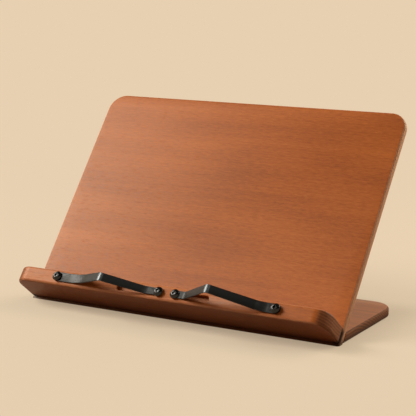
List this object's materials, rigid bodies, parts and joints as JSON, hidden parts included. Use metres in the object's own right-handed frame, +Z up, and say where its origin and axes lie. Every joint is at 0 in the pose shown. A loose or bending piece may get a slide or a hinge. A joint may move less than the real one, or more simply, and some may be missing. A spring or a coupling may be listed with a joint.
{
  "type": "book stand",
  "caption": "Leaning wooden book stand with a deep ledge across its foot, a foot board behind, and black steel page clips that swing up from the ledge's front edge.",
  "frame": {"origin": "middle of the footprint on the table, half way from the panel's front edge to the back of the foot board, on the foot board's underside", "axes": "+X to the reader's right along the stand's width, +Y away from the reader, +Z up from the table"},
  "size_m": [0.34, 0.2055, 0.1908],
  "materials": {
    "stained_wood": "reddish-brown stain under a satin clear coat, fine grain running across the stand",
    "pale_wood": "bare beech",
    "black_steel": "black oxide on steel, satin, bright where the bends are rubbed",
    "zinc_steel": "zinc plated",
    "brass": "turned brass",
    "nylon": "natural nylon"
  },
  "bodies": {
    "stand": {"back_panel": "stained_wood", "ledge": "stained_wood", "foot_board": "stained_wood", "ledge_dowels": "pale_wood", "foot_screws": "zinc_steel", "left_pivot_screw": "black_steel", "left_slip_washer": "nylon", "left_spring_washer": "black_steel", "left_threaded_insert": "brass", "right_pivot_screw": "black_steel", "right_slip_washer": "nylon", "right_spring_washer": "black_steel", "right_threaded_insert": "brass"},
    "left_clip": {"left_page_clip": "black_steel", "left_tip_knob": "black_steel"},
    "right_clip": {"right_page_clip": "black_steel", "right_tip_knob": "black_steel"}
  },
  "joints": [
    {"name": "left_clip_swing", "type": "hinge", "parent": "stand", "child": "left_clip", "pos_m": [-0.11817, -0.09014, 0.03327], "axis": [0, -0.7826, 0.6225], "range_deg": [0, 180]},
    {"name": "right_clip_swing", "type": "hinge", "parent": "stand", "child": "right_clip", "pos_m": [0.11977, -0.09014, 0.03327], "axis": [0, 0.7826, -0.6225], "range_deg": [0, 180]}
  ]
}
